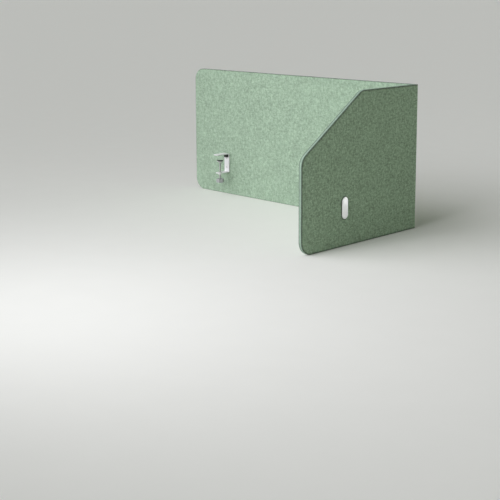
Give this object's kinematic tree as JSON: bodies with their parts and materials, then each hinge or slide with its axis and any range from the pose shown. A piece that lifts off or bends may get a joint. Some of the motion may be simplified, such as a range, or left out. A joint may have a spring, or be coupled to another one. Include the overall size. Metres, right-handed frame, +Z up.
{
  "type": "desk privacy panel",
  "caption": "L-shaped felt desk screen: a long rear panel folds into a side wing with a sloping front edge, held to the desktop by screw clamps with pill-shaped cover plates.",
  "frame": {"origin": "centre of the underside of the object's box", "axes": "+X along the rear panel towards the wing, +Y away from the user, +Z up; the wing points to -Y"},
  "size_m": [1.227, 0.632, 0.544],
  "materials": {
    "felt": "pressed polyester felt, heathered sage green, matt",
    "white_steel": "fine matt white powder coat",
    "satin_aluminium": "satin anodised aluminium",
    "grey_plastic": "fine moulded grain, light grey",
    "rubber": "matt black rubber",
    "zinc": "bright zinc-plated steel"
  },
  "bodies": {
    "rear_panel": {"rear_panel": "felt", "fold_skin": "felt", "rear_left_bracket": "white_steel", "rear_left_tongue_pad": "rubber", "rear_left_edge_bumper": "rubber", "rear_left_cover_plate": "satin_aluminium", "rear_left_upper_screw": "zinc", "rear_left_lower_screw": "zinc", "rear_left_weld_nut": "white_steel", "rear_right_bracket": "white_steel", "rear_right_tongue_pad": "rubber", "rear_right_edge_bumper": "rubber", "rear_right_cover_plate": "satin_aluminium", "rear_right_upper_screw": "zinc", "rear_right_lower_screw": "zinc", "rear_right_weld_nut": "white_steel"},
    "side_wing": {"side_panel": "felt", "side_bracket": "white_steel", "side_tongue_pad": "rubber", "side_edge_bumper": "rubber", "side_cover_plate": "satin_aluminium", "side_upper_screw": "zinc", "side_lower_screw": "zinc", "side_weld_nut": "white_steel"},
    "rear_left_foot": {"rear_left_foot": "zinc", "rear_left_foot_pad": "rubber"},
    "rear_left_spindle": {"rear_left_spindle": "zinc", "rear_left_knob": "grey_plastic"},
    "rear_right_foot": {"rear_right_foot": "zinc", "rear_right_foot_pad": "rubber"},
    "rear_right_spindle": {"rear_right_spindle": "zinc", "rear_right_knob": "grey_plastic"},
    "side_foot": {"side_foot": "zinc", "side_foot_pad": "rubber"},
    "side_spindle": {"side_spindle": "zinc", "side_knob": "grey_plastic"}
  },
  "joints": [
    {"name": "wing_fold", "type": "hinge", "parent": "rear_panel", "child": "side_wing", "pos_m": [0.6095, 0.312, 0.272], "axis": [0, 0, 1], "range_deg": [0, 90]},
    {"name": "rear_left_lift", "type": "slide", "parent": "rear_panel", "child": "rear_left_foot", "axis": [0, 0, 1], "range_m": [-0.03, 0.01375]},
    {"name": "rear_left_screw", "type": "hinge", "parent": "rear_left_foot", "child": "rear_left_spindle", "pos_m": [-0.4085, 0.255, 0.07], "axis": [0, 0, 1], "range_deg": [-8640, 3960]},
    {"name": "rear_right_lift", "type": "slide", "parent": "rear_panel", "child": "rear_right_foot", "axis": [0, 0, 1], "range_m": [-0.03, 0.01375]},
    {"name": "rear_right_screw", "type": "hinge", "parent": "rear_right_foot", "child": "rear_right_spindle", "pos_m": [0.3815, 0.255, 0.07], "axis": [0, 0, 1], "range_deg": [-8640, 3960]},
    {"name": "side_lift", "type": "slide", "parent": "side_wing", "child": "side_foot", "axis": [0, 0, 1], "range_m": [-0.03, 0.01375]},
    {"name": "side_screw", "type": "hinge", "parent": "side_foot", "child": "side_spindle", "pos_m": [0.5525, -0.095, 0.07], "axis": [0, 0, 1], "range_deg": [-8640, 3960]}
  ],
  "couplings": [
    {"joint": "rear_left_screw", "follows": "rear_left_lift", "rad_per_m": 5026.5},
    {"joint": "rear_right_screw", "follows": "rear_right_lift", "rad_per_m": 5026.5},
    {"joint": "side_screw", "follows": "side_lift", "rad_per_m": 5026.5}
  ]
}
